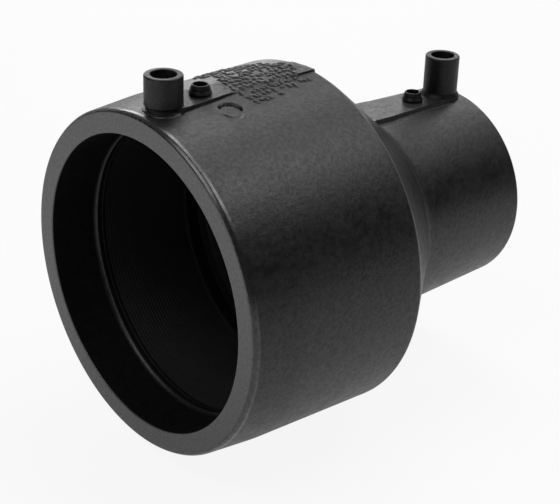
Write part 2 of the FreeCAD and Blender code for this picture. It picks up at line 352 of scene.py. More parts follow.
def moulded_grain_group() -> NodeTree:
    """Group for the skin of a moulding: fine grain, slow waves, flecks and a mottle.

    The flecks are finer than the waves, and the mottle is half waves and half wide clouds.

    Returns:
        The group, with inputs Vector, Grain Scale and Wave Scale, and outputs Height, Fleck and
        Mottle.
    """
    group, board, given, result = new_group(
        "moulded_grain",
        {"Vector": VECTOR, "Grain Scale": VALUE, "Wave Scale": VALUE},
        {"Height": VALUE, "Fleck": VALUE, "Mottle": VALUE},
    )
    place, grain_scale, wave_scale = given.outputs[:3]
    grain = board.noise(place, grain_scale, 3.0, 0.6)
    wave = board.noise(place, wave_scale, 2.0)
    cloud = board.noise(place, board.math("MULTIPLY", wave_scale, CLOUD_FINENESS), 5.0, 0.62, 0.4)
    fleck = board.noise(place, board.math("MULTIPLY", wave_scale, FLECK_FINENESS), 2.0, 0.6)
    height = board.math("ADD", board.math("MULTIPLY", grain, GRAIN_SHARE),
                        board.math("MULTIPLY", wave, 1.0 - GRAIN_SHARE))
    speck = board.span(wave, 0.35, 0.65, 0.0, 0.5)
    patch = board.span(cloud, 0.36, 0.64, 0.0, 0.5)
    board.feed(result, "Height", height)
    board.feed(result, "Fleck", board.span(fleck, 0.35, 0.65, 0.0, 1.0))
    board.feed(result, "Mottle", board.math("ADD", speck, patch))
    return group


def handling_group() -> NodeTree:
    """Group for the faint rubs of handling: thin streaks kept to a few patches.

    Returns:
        The group, with input Vector and output Mask.
    """
    group, board, given, result = new_group("handling_rubs", {"Vector": VECTOR}, {"Mask": VALUE})
    place = given.outputs["Vector"]
    slanted = board.add("ShaderNodeMapping", Vector=place, Rotation=(0.4, 0.7, 0.5),
                        Scale=(60.0, 900.0, 900.0))
    thin = board.span(board.noise(slanted.outputs[0], 1.0, 2.0), 0.66, 0.72, 0.0, 1.0)
    where = board.span(board.noise(place, 38.0, 1.0), 0.48, 0.62, 0.0, 1.0)
    board.feed(result, "Mask", board.math("MULTIPLY", thin, where))
    return group


def grey(level: float, blue: float | None = None) -> Triple:
    """Grey of a level, with a blue of its own where it is a little cool."""
    return level, level, level if blue is None else blue


COAT_SHINE = 0.235


@dataclass(frozen=True)
class Polyethylene:
    """Black moulded polyethylene with fine grain and uneven gloss.

    Its specular level is shine on average. A thin coat carries a part of it, with a weight that
    follows the flecks up to gleam. COAT_SHINE is half the specular level of a full coat, because
    the flecks are half on average.
    """

    name: str
    colour: Triple = grey(0.007, 0.0071)
    pale: Triple = grey(0.025, 0.0252)
    smooth: float = 0.34
    rough: float = 0.47
    shine: float = 0.40
    grain_scale: float = 1500.0
    wave_scale: float = 420.0
    depth: float = 0.00021
    rubs: float = 0.10
    mottled: float = 0.55
    flecked: float = 0.78
    refraction: float = 1.52

    @property
    def gleam(self) -> float:
        """Highest weight of the thin coat."""
        return self.flecked * self.shine

    def material(self, grain: NodeTree, rubs: NodeTree) -> Material:
        """Build the material.

        Args:
            grain: The moulded grain group.
            rubs: The handling rubs group.

        Returns:
            The material.
        """
        made, board, place = new_material(self.name)
        skin = board.add("ShaderNodeGroup", {"node_tree": grain}, Vector=place,
                         Grain_Scale=self.grain_scale, Wave_Scale=self.wave_scale)
        rub = board.add("ShaderNodeGroup", {"node_tree": rubs}, Vector=place)
        mottle = skin.outputs["Mottle"]
        rubbed = board.math("MULTIPLY", rub.outputs["Mask"], self.rubs)
        pale = board.math("ADD", board.math("MULTIPLY", mottle, self.mottled), rubbed)
        gloss = board.span(board.math("ADD", mottle, rubbed), 0.0, 1.0, self.smooth, self.rough)
        gleam = board.span(skin.outputs["Fleck"], 0.0, 1.0, 0.0, self.gleam)
        bump = board.add("ShaderNodeBump", Height=skin.outputs["Height"], Distance=self.depth,
                         Strength=1.0)
        shader = board.add(
            "ShaderNodeBsdfPrincipled", Base_Color=board.tint(pale, self.colour, self.pale),
            Roughness=gloss, Normal=bump.outputs[0], IOR=self.refraction,
            Specular_IOR_Level=self.shine - self.gleam * COAT_SHINE, Coat_Weight=gleam,
            Coat_Roughness=(self.smooth + self.rough) / 2)
        board.add("ShaderNodeOutputMaterial", Surface=shader.outputs[0])
        return made


@dataclass(frozen=True)
class Brass:
    """Turned brass with fine rings and slight tarnish."""

    colour: Triple = (0.74, 0.56, 0.28)
    dull: Triple = (0.42, 0.28, 0.12)
    ring_scale: float = 2600.0

    def material(self) -> Material:
        """Build the material.

        Returns:
            The material, with rings along Z and tarnish from a noise.
        """
        made, board, place = new_material("turned_brass")
        rings = board.add("ShaderNodeTexWave", {"wave_type": "BANDS", "bands_direction": "Z"},
                          Vector=place, Scale=self.ring_scale, Distortion=0.3, Detail=1.0)
        share = board.span(board.noise(place, 900.0, 4.0), 0.4, 0.7, 0.0, 1.0)
        bump = board.add("ShaderNodeBump", Height=rings.outputs["Fac"], Distance=0.00001, Strength=0.7)
        shader = board.add(
            "ShaderNodeBsdfPrincipled", Base_Color=board.tint(share, self.colour, self.dull),
            Metallic=1.0, Roughness=board.span(share, 0.0, 1.0, 0.22, 0.42), Normal=bump.outputs[0])
        board.add("ShaderNodeOutputMaterial", Surface=shader.outputs[0])
        return made


def backdrop_share(board: NodeBoard, seen: float, mirrored: object) -> NodeSocket:
    """Share of plain white: one value where the camera or clear glass sees it, one in a gloss."""
    path = board.add("ShaderNodeLightPath")
    direct = board.math("MAXIMUM", path.outputs["Is Camera Ray"], path.outputs["Is Transmission Ray"])
    gloss = board.math("MULTIPLY", path.outputs["Is Glossy Ray"], mirrored)
    return board.math("MAXIMUM", board.math("MULTIPLY", direct, seen), gloss)


@dataclass(frozen=True)
class PaleFloor:
    """Plain white floor that keeps a faint shadow.

    A gloss sees it glow as a painted reflection, brighter on the camera's left than on its right,
    and dimmer beyond the object, with painted shade by the foot of the wide mouth.
    """

    paper: Triple = grey(0.80)
    fibre: Triple = grey(0.788)
    seen_white: float = 0.9
    # Strengths of the painted reflection that a gloss sees; the dimmer foot is painted shade
    mirrored_left: float = 0.995
    mirrored_foot: float = 0.34
    mirrored_right: float = 0.50
    mirrored_back: float = 0.244
    foot_fade: Pair = (-0.13, -0.03)
    side_fade: Pair = (-0.05, 0.05)
    back_fade: Pair = (0.06, 0.16)

    def material(self) -> Material:
        """Build the material: paper, with a share of plain white where it is seen, and a painted
        reflection of it in a gloss.

        The fades are in metres: along the pipe axis, to the camera's right and ahead of it.

        Returns:
            The material.
        """
        made, board, place = new_material("pale_floor")
        colour = board.tint(board.noise(place, 900.0, 3.0), self.fibre, self.paper)
        paper = board.add("ShaderNodeBsdfDiffuse", Color=colour)
        white = board.add("ShaderNodeEmission", Color=(1.0, 1.0, 1.0, 1.0), Strength=1.0)
        sideways = board.along(place, direction(PhotoCamera.azimuth + 90))
        ahead = board.along(place, direction(PhotoCamera.azimuth))
        axial = board.along(place, Vector((1.0, 0.0, 0.0)))
        # painted reflection: bright on the left, painted shade by the wide mouth's foot, dimmer to the
        # right and beyond
        left = board.span(axial, *self.foot_fade, self.mirrored_left, self.mirrored_foot)
        front = board.span(sideways, *self.side_fade, left, self.mirrored_right)
        painted_reflection = board.span(ahead, *self.back_fade, front, self.mirrored_back)
        mix = board.add("ShaderNodeMixShader")
        board.feed(mix, 0, backdrop_share(board, self.seen_white, painted_reflection))
        board.feed(mix, 1, paper.outputs[0])
        board.feed(mix, 2, white.outputs[0])
        board.add("ShaderNodeOutputMaterial", Surface=mix.outputs[0])
        return made


class Finishes:
    """Every material of the part, built once."""

    def __init__(self) -> None:
        """Build the groups and the materials."""
        grain, rubs = moulded_grain_group(), handling_group()

        def moulded(name: str, **looks: object) -> Material:
            """Polyethylene with looks of its own."""
            return Polyethylene(name, **looks).material(grain, rubs)

        self.skin = moulded("moulded_polyethylene")
        # paler copy of the skin: the mouths' faced rings in their own colour, and a painted highlight
        # line on the wide barrel's back edge
        self.face = moulded("faced_and_highlight_polyethylene", colour=grey(0.040, 0.0403), pale=grey(0.060, 0.0604),
                            smooth=0.30, rough=0.40, shine=0.66, wave_scale=560.0, depth=0.00005)
        # darker, less glossy copy of the skin on the cone: painted shade
        self.cone = moulded("shaded_cone_polyethylene", colour=grey(0.004, 0.0041), pale=grey(0.015, 0.0151),
                            shine=0.28)
        # paler, smoother copy of the skin: real smoother gloss, and a painted highlight along the
        # mouth's edge and the cone's root
        self.edge = moulded("glossy_painted_highlight_polyethylene", colour=grey(0.016, 0.0162), smooth=0.24,
                            pale=grey(0.026, 0.0262), rough=0.32, shine=0.65, depth=0.00004)
        # much darker, rougher copy of the skin inside the bores: painted shade
        self.bore = moulded("shaded_bore_polyethylene", colour=grey(0.002), pale=grey(0.0035), smooth=0.60,
                            rough=0.74, shine=0.20, wave_scale=260.0, depth=0.00004, rubs=0.05)
        # darker, less glossy copy of the skin on the shrouds and bosses: painted shade, with a finer
        # grain of their own
        self.shroud = moulded("shaded_shroud_polyethylene", colour=grey(0.005), pale=grey(0.009), smooth=0.36,
                              rough=0.50, shine=0.32, grain_scale=3400.0, wave_scale=700.0,
                              depth=0.00005)
        self.wire = moulded("coated_wire", colour=grey(0.016), pale=grey(0.024), smooth=0.40,
                            rough=0.50, shine=0.34, grain_scale=4200.0, wave_scale=900.0,
                            depth=0.00003, rubs=0.0)
        self.indicator = moulded("indicator_polyethylene", colour=grey(0.028), pale=grey(0.045),
                                 rough=0.46, grain_scale=4200.0, wave_scale=1200.0, depth=0.00003,
                                 rubs=0.0)
        self.brass = Brass().material()


def settle(item: Object, slot: Slot, *materials: Material) -> Object:
    """Give a piece its materials and its body.

    Args:
        item: The piece.
        slot: The record's slot. Not used.
        materials: Its materials, in the order of its faces' material numbers.

    Returns:
        The piece.
    """
    item.data.materials.clear()
    for material in materials:
        item.data.materials.append(material)
    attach(item, BODY)
    return item


# ---- The object

@dataclass(frozen=True)
class End:
    """Sizes of one end's top features, in millimetres."""

    name: str
    shroud_x: float
    shroud_height: float
    boss_x: float
    strip_top: float
    strip_slope: float
    seat_radius: float
    bore_radius: float
    winding: Pair

    @property
    def rim(self) -> float:
        """Height of the shroud's rim above the pipe axis."""
        return self.strip_top + self.shroud_height

    @property
    def boss_foot(self) -> float:
        """Height of the strip under the indicator boss."""
        return float(self.strip_line(self.boss_x))

    def strip_line(self, x: Array | float) -> Array | float:
        """Height of the strip's flat top at a place along the pipe axis."""
        return self.strip_top + self.strip_slope * (x - self.shroud_x)


# Each slope is a growth of the radius over a length. The strips' tops are measured at the ledge
# and at the narrow mouth, 9.0 and 9.2 mm away from the shrouds.
LIP_SLOPE, LARGE_TAPER, SMALL_TAPER = 1.8 / 20.5, 1.5 / 54.5, 1.7 / 54.2
LARGE = End(name="large", shroud_x=11.5, shroud_height=11.1, boss_x=27.5,
            strip_top=66.9 - LARGE_TAPER * 9.0, strip_slope=LARGE_TAPER,
            seat_radius=57.4, bore_radius=55.4, winding=(24.0, 63.2))
SMALL = End(name="small", shroud_x=152.0, shroud_height=16.5, boss_x=136.0,
            strip_top=40.4 + SMALL_TAPER * 9.2, strip_slope=-SMALL_TAPER,
            seat_radius=33.8, bore_radius=31.8, winding=(115.7, 143.7))


class Patch(IntEnum):
    """Material numbers of the moulding's faces, named as their finishes."""

    SKIN, BORE, FACE, EDGE, CONE = range(5)


@dataclass(frozen=True)
class MouldedBody:
    """The one-piece moulding: barrels, cone, sockets, strips, wells and the round mark."""

    large_length: float = 75.0
    ledge: float = 20.5
    cone_foot: float = 107.0
    total_length: float = 161.2
    mouth_radius: float = 64.7
    mouth_chamfer: Pair = (1.25, 0.75)
    shoulder_radius: float = 66.5
    back_radius: float = 68.0
    root_radius: float = 41.7
    small_mouth_radius: float = 40.0
    mouth_round: float = 1.8
    large_entry: float = 56.0
    large_stop: float = 70.0
    scored: Pair = (22.2, 22.6)
    throat: float = 50.4
    neck: float = 26.5
    neck_start: float = 105.2
    small_stop: float = 111.2
    small_entry: float = 32.2
    small_ledge: float = 147.2
    strip_half_width: float = 7.0
    strip_edge: float = 0.16
    strip_outline: tuple[Pair, ...] = (
        (12.4, 5.6), (14.6, 7.0), (17.0, 7.1), (28.0, 6.4), (34.0, 6.0), (62.0, 6.1), (69.0, 6.35),
        (76.2, 6.5), (77.0, 8.5), (90.0, 9.0), (110.0, 9.5), (116.0, 9.4), (121.0, 8.8), (130.0, 8.3),
        (152.0, 7.5))
    worn_start: Pair = (36.0, 42.0)
    worn_end: Pair = (62.0, 67.0)
    worn_edge: float = 0.9
    gutter_width: float = 0.62
    gutter_depths: Triple = (0.85, 0.35, 0.45)
    well_dip_radius: float = 5.6
    well_dip_height: float = 61.4
    moat: Triple = (7.4, 8.8, 0.8)
    mark_x: float = 29.3
    mark_turn: float = 12.3
    mark_radius: float = 4.6
    mark_depth: float = 1.2
    smudges: tuple[tuple[float, float, float, float, float], ...] = (
        (67.0, -10.6, 3.8, 1.9, 0.12), (115.6, 1.4, 1.6, 1.5, 0.16), (121.2, -0.6, 2.4, 1.1, 0.14),
        (112.2, -2.4, 1.2, 1.3, 0.10))
    flank: float = 22.0
    crowded: Pair = (0.3, 1.4)
    round_steps: int = 150
    # Bands of the finishes: the faced rings' own paler colour, and painted highlight along the mouth's
    # edge, the back edge, the cone's root and the bore's step
    faced: float = 0.45
    mouth_edge: float = 1.9
    back_edge: Pair = (-0.7, 0.9)
    root_edge: Pair = (-4.5, -0.8)
    step_edge: Pair = (-0.05, 0.12)

    def section(self) -> tuple[Array, int]:
        """Closed section of the wall in the plane of the axis, as (x, radius) points.

        Returns:
            The points, and how many of them, counted from the first, lie on the outside.
        """
        def along(start: float, radius: float, slope: float, *cuts: tuple[float, int]) -> list[Corner]:
            """Points on a tapered run, each with the divisions up to the next."""
            return [(x, radius + slope * (x - start), 0.0, count) for x, count in cuts]

        run, drop = self.mouth_chamfer
        outer = [(0.0, self.mouth_radius - drop, 0.8, 3),
                 (run, self.mouth_radius + run * LIP_SLOPE, 1.1, 2)]
        outer += along(0.0, self.mouth_radius, LIP_SLOPE, (3.6, 34))
        outer += [(self.ledge, self.shoulder_radius, 60.0, 9)]
        outer += along(self.ledge, self.shoulder_radius, LARGE_TAPER, (26.0, 28), (35.2, 28))
        fall = (self.root_radius - self.back_radius) / (self.cone_foot - self.large_length)
        outer += [(self.large_length, self.back_radius, 1.3, 8)]
        outer += along(self.large_length, self.back_radius, fall, (self.large_length + 1.6, 14))
        outer += [(self.cone_foot, self.root_radius, 4.2, 16)]
        outer += along(self.total_length, self.small_mouth_radius, -SMALL_TAPER,
                       (143.8, 38), (159.2, 1))
        outer += [(self.total_length, self.small_mouth_radius, self.mouth_round, 4)]
        bore, seat, (start, end) = SMALL.bore_radius, SMALL.seat_radius, SMALL.winding
        inner = [
            (self.total_length, self.small_entry, 0.5, 6), (self.small_ledge, self.small_entry, 0.0, 1),
            (self.small_ledge - 0.1, bore, 0.0, 3), (end, bore, 0.0, 2), (end, seat, 0.0, 6),
            (start, seat, 0.0, 2), (start, bore, 0.0, 3), (self.small_stop, bore, 0.3, 4),
            (self.small_stop, self.neck, 0.8, 4), (self.neck_start, self.neck, 2.0, 12),
        ]
        bore, seat, (start, end) = LARGE.bore_radius, LARGE.seat_radius, LARGE.winding
        near, far = self.scored
        inner += [
            (self.large_stop, self.throat, 0.8, 4), (self.large_stop, bore, 0.3, 3),
            (end, bore, 0.0, 2), (end, seat, 0.0, 8), (start, seat, 0.0, 2), (start, bore, 0.0, 2),
            (far + 0.1, bore, 0.0, 1), (far, bore + 0.2, 0.0, 1), (near, bore + 0.2, 0.0, 1),
            (near - 0.1, bore, 0.0, 3), (self.ledge + 0.1, bore, 0.12, 1),
            (self.ledge, self.large_entry, 0.0, 10), (0.0, self.large_entry, 0.5, 8),
        ]
        points = rounded_loop(outer + inner)
        outside = int(np.argmax(points[:, 1] < self.small_mouth_radius - self.mouth_round - 0.01))
        return points, outside

    def plain_radius(self, x: Array) -> Array:
        """Radius of the plain barrels along the pipe axis, away from their mouths and the cone."""
        large = self.shoulder_radius + LARGE_TAPER * (x - self.ledge)
        small = self.small_mouth_radius + SMALL_TAPER * (self.total_length - x)
        return np.where(x < self.cone_foot, large, small)

    def strip_width(self, x: Array) -> Array:
        """Half width of the strips: drawn in by the bosses, and wider at the shrouds and the cone."""
        places, widths = zip(*self.strip_outline)
        return np.interp(x, places, widths)

    def side_steps(self) -> Array:
        """Sideways places of the columns over the top, crowded beside the strip's edge."""
        edge, (near, far) = self.strip_half_width, self.crowded
        half = (edge - near, edge + near, edge + far, self.flank)
        columns = np.cumsum((0, 32, 10, 9, 36, 9, 7, 15))
        places = (*(-place for place in half[::-1]), *half)
        return np.interp(np.arange(columns[-1] + 1), columns, places)

    def sideways(self, x: Array) -> Array:
        """Sideways place of every column in every row.

        The columns beside the strip's edge move out with its half width w(x): a column u goes to
        u + (w - w0) sign(u) f, where f rises from 0 in the middle to 1 at the edge w0 and falls
        back to 0 at the flank.

        Args:
            x: Places along the pipe axis, one row each.

        Returns:
            The places, rows by columns.
        """
        steps = self.side_steps()[None, :]
        edge, out = self.strip_half_width, np.abs(steps)
        fall = np.clip((self.flank - out) / (self.flank - edge - self.crowded[1]), 0.0, 1.0)
        share = np.minimum(out / edge, 1.0) * fall
        return steps + (self.strip_width(x) - edge) * np.sign(steps) * share

    def top_height(self, x: Array, y: Array, radius: Array) -> Array:
        """Height of the outside near the top, at points (x, y) where the plain barrel has a radius.

        The plain barrel is h = sqrt(radius^2 - y^2). Each strip raises it to its own flat top, by an
        eased mask of the distance to its edge. Where the relief covers it the edge is softer, and
        has no gutter. The wide strip's end overhangs the barrel's on the near side. The wide end's
        well sinks in its shroud, with a shallow ring about the shroud's foot. The round mark's
        middle lies radius times its turn from the top, along the barrel's round, and a point lies
        h atan(y / h) from the top. Its floor leans, and its slot is deep on the side towards the
        strip and the cone, and shallow opposite. A few faint ovals come last.

        Args:
            x: Places along the pipe axis.
            y: Places across it.
            radius: The plain barrel's radius at each place.

        Returns:
            The heights.
        """
        height = plain = np.sqrt(np.maximum(radius * radius - y * y, 0.0))
        beyond = np.abs(y) - self.strip_width(x)
        worn = ease(x, *self.worn_start) * (1 - ease(x, *self.worn_end))
        edge = self.strip_edge + self.worn_edge * worn
        large = ease(x, LARGE.shroud_x - 0.1, LARGE.shroud_x + 0.1)
        overhang = 0.6 * (1 - ease(y, -3.0, 3.0)) - 0.8 * ease(y, 3.0, 6.0)
        large = large * (1 - ease(x - overhang, self.large_length, self.large_length + 0.5))
        small = ease(x, self.cone_foot - 2.2, self.cone_foot - 1.8)
        small = small * (1 - ease(x, SMALL.shroud_x - 0.1, SMALL.shroud_x + 0.1))
        for mask, end in ((large, LARGE), (small, SMALL)):
            rise = np.maximum(end.strip_line(x) - height, 0)
            height = height + (1 - ease(beyond, -edge, edge)) * mask * rise
        near_mouth, further, on_small = self.gutter_depths
        deep = near_mouth + (further - near_mouth) * ease(x, 26.0, 40.0)
        gutter = hump(beyond, self.gutter_width, self.gutter_width)
        height = height - gutter * (large * deep * (1 - worn) + small * on_small)

        away = np.hypot(x - LARGE.shroud_x, y)
        dip = 1 - ease(away, self.well_dip_radius - 0.5, self.well_dip_radius + 0.5)
        height = height + dip * (self.well_dip_height - height)
        inner, outer, moat_depth = self.moat
        ring = hump(away, (inner + outer) / 2, (outer - inner) / 2)
        height = height - moat_depth * ring * ease(-y, 1.5, 4.5) * (1 - ease(x, 12.5, 15.0))

        along = x - self.mark_x
        across = plain * np.arctan2(y, plain) + radius * math.radians(self.mark_turn)
        away = np.hypot(along, across)
        mark = 1 - ease(away, self.mark_radius - 0.22, self.mark_radius + 0.12)
        lean = 0.12 + 0.30 * np.clip(0.5 + across / (2 * self.mark_radius), 0.0, 1.0)
        towards = (0.6 * along + 0.8 * across) / self.mark_radius
        slot = 1.9 * ease(towards, 0.1, 0.7) + 0.45 * ease(-towards, 0.2, 0.8)
        slot = slot * hump(away, self.mark_radius - 0.6, 0.72)
        height = height - self.mark_depth * (lean * mark + slot)

        for centre_x, centre_y, half_x, half_y, depth in self.smudges:
            away = np.hypot((x - centre_x) / half_x, (y - centre_y) / half_y)
            height = height - depth * (1 - ease(away, 0.3, 1.0))
        return height

    def grid(self) -> tuple[Array, int]:
        """Points of the whole wall, and the number of rows on the outside.

        A point of the section at (x, r) goes round as (x, r sin t, r cos t). Over the top the
        columns keep their sideways places y, so t = asin(y / r), and the rest of the circle is
        divided evenly. Outside rows then take their height from top_height.

        Returns:
            The grid, section points by columns by three, and the count of outside rows.
        """
        points, outside = self.section()
        x, radius = points[:, :1], points[:, 1:]
        over = np.arcsin(self.sideways(x) / radius)
        share = np.arange(1, self.round_steps)[None, :] / self.round_steps
        start = over[:, -1:]
        under = start + (math.tau - 2 * start) * share
        turn = np.concatenate([over, under], axis=1)
        grid = np.stack([x + 0 * turn, radius * np.sin(turn), radius * np.cos(turn)], axis=-1)
        top = grid[:outside, :over.shape[1]]
        top[..., 2] = self.top_height(top[..., 0], top[..., 1], radius[:outside])
        return grid, outside

    def build(self, finishes: Finishes) -> Object:
        """Make the moulding, with a finish of its own for each patch: painted shade on the cone and in
        the bores, painted highlight along some edges.

        Args:
            finishes: The materials.

        Returns:
            The piece.
        """
        grid, outside = self.grid()
        item = ring_mesh("moulded_wall", grid)
        along = grid[:, 0, 0]
        inside = np.arange(len(grid)) >= outside

        def about(middle: float, reach: Pair) -> Array:
            """Rows that lie in a band about a place."""
            return (along > middle + reach[0]) & (along < middle + reach[1])

        number = np.full(len(grid), Patch.SKIN, np.int32)
        # the cone between the barrels takes the painted shade finish
        number[(along > self.large_length) & (along < self.cone_foot)] = Patch.CONE
        # the mouth's edge and the cone's root: smoother gloss with a painted highlight
        number[(along < self.mouth_edge) | about(self.cone_foot, self.root_edge)] = Patch.EDGE
        # a band of the paler faced finish along the back edge: painted highlight
        number[about(self.large_length, self.back_edge)] = Patch.FACE
        # the bores take the painted shade finish
        number[inside] = Patch.BORE
        # the skin kept on the ledge's step shows as a painted highlight line against the bore's painted
        # shade
        number[inside & about(self.ledge, self.step_edge)] = Patch.SKIN
        number[inside & (np.minimum(along, self.total_length - along) < self.faced)] = Patch.FACE
        settle(item, Slot.BODY, *(getattr(finishes, patch.name.lower()) for patch in Patch))
        item.data.polygons.foreach_set("material_index", np.repeat(number, grid.shape[1]))
        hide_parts("fitting_body")
        return item


@dataclass(frozen=True)
class Shroud:
    """Terminal shroud: an upright tube round the contact pin."""

    end: End
    outer: float = 6.9
    neck: float = 6.35
    ledge: float = 7.5
    flare: float = 7.9
    ledge_drop: float = 1.3
    neck_height: float = 1.15
    well: float = 4.7
    well_depth: float = 15.5
    shank: float = 2.82
    root_depth: float = 2.8
    floor_wall: float = 0.9
    columns: int = 128

    def foot(self) -> list[Corner]:
        """Outside corners of the foot, upwards, with the divisions up to the next.

        The wide end's tube stands on a thin ledge on the barrel, drawn in above it. The narrow
        end's tube flares out onto its strip.

        Returns:
            Corners as distance from the axis, height, rounding and divisions.
        """
        top = self.end.strip_top
        if self.end is LARGE:
            step = top - self.ledge_drop
            return [(self.ledge, step, 0.18, 2), (self.neck, step, 0.12, 2),
                    (self.neck, step + self.neck_height, 0.2, 1),
                    (self.outer, step + self.neck_height + 0.35, 0.3, 18)]
        return [(self.flare, top + 0.03, 0.1, 1), (self.outer, top + 1.7, 2.0, 18)]

    def build(self, finishes: Finishes) -> Object:
        """Turn the tube's closed section about its upright axis.

        Args:
            finishes: The materials.

        Returns:
            The piece.
        """
        rim = self.end.rim
        floor = rim - self.well_depth
        base = min(self.end.strip_top - self.root_depth, floor - self.floor_wall)
        foot = self.foot()
        profile = rounded_loop([
            (self.outer, rim, 0.55, 3), (self.well, rim, 0.3, 16), (self.well, floor, 0.4, 3),
            (self.shank, floor, 0.0, 2), (self.shank, base, 0.0, 4),
            (foot[0][0], base, 0.0, 3), *foot,
        ])
        grid = upright_ring(profile, self.end.shroud_x, self.columns)
        # the shroud takes the painted shade finish
        return settle(ring_mesh(f"shroud_{self.end.name}", grid), Slot.BODY, finishes.shroud)


@dataclass(frozen=True)
class IndicatorBoss:
    """Waisted boss beside a shroud, open at the top over the indicator pin."""

    end: End
    height: float = 3.7
    rim: float = 3.05
    bore: float = 2.6
    bore_depth: float = 3.1
    stem_hole: float = 1.56
    flange: float = 4.0
    shoulder: float = 4.2
    waist: float = 3.5
    root_depth: float = 1.2
    columns: int = 96

    def build(self, finishes: Finishes) -> Object:
        """Turn the boss's closed section about its upright axis.

        Args:
            finishes: The materials.

        Returns:
            The piece.
        """
        foot = self.end.boss_foot
        top = foot + self.height
        floor = top - self.bore_depth
        base = foot - self.root_depth
        profile = rounded_loop([
            (self.rim, top, 0.15, 2), (self.bore, top, 0.12, 8), (self.bore, floor, 0.15, 2),
            (self.stem_hole, floor, 0.0, 2), (self.stem_hole, base, 0.0, 4),
            (self.flange, base, 0.0, 2), (self.flange, foot + 0.2, 0.1, 1),
            (self.shoulder, foot + 0.8, 0.2, 2), (self.waist, foot + 2.0, 0.1, 1),
            (self.waist, foot + 2.15, 0.1, 1), (self.waist + 0.2, foot + 2.3, 0.1, 3),
        ])
        grid = upright_ring(profile, self.end.boss_x, self.columns)
        # the boss takes the shroud's painted shade finish
        return settle(ring_mesh(f"indicator_boss_{self.end.name}", grid), Slot.BODY, finishes.shroud)


@dataclass(frozen=True)
class Winding:
    """Turns of coated wire in a fusion bore, laid against each other."""

    end: End
    pitch: float = 1.4
    recess: float = 0.1
    valley: float = 0.16
    play: float = 0.02
    samples: int = 8
    columns: int = 200

    def build(self, finishes: Finishes) -> Object:
        """Make the band of turns.

        With u from -1 to 1 across each turn, the inner side is recess + valley (1 - sqrt(1 - 0.96
        u^2)) behind the bore. The turn that a point lies in moves on by one pitch in each round,
        so that the wire runs as a screw.

        Args:
            finishes: The materials.

        Returns:
            The piece.
        """
        start, end = self.end.winding
        turns = round((end - start) / self.pitch)
        start_side, end_side = start + self.play, end - self.play
        along = np.linspace(start_side, end_side, turns * self.samples + 1)[:, None]
        turn = np.linspace(0, math.tau, self.columns, endpoint=False)[None, :]
        phase = ((along - start) / self.pitch - turn / math.tau) % 1.0
        across = 2 * phase - 1
        dip = 1 - np.sqrt(1 - 0.96 * across * across)
        inner = self.end.bore_radius + self.recess + self.valley * dip
        outer = np.full((2, self.columns), self.end.seat_radius - self.play)
        radius = np.concatenate([inner, outer])
        x = np.concatenate([along, [[end_side], [start_side]]]) + 0 * radius
        grid = np.stack([x, radius * np.sin(turn), radius * np.cos(turn)], axis=-1)
        item = ring_mesh(f"winding_{self.end.name}", grid)
        settle(item, Slot.WIRE, finishes.wire)
        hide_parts("heating_wire")
        return item


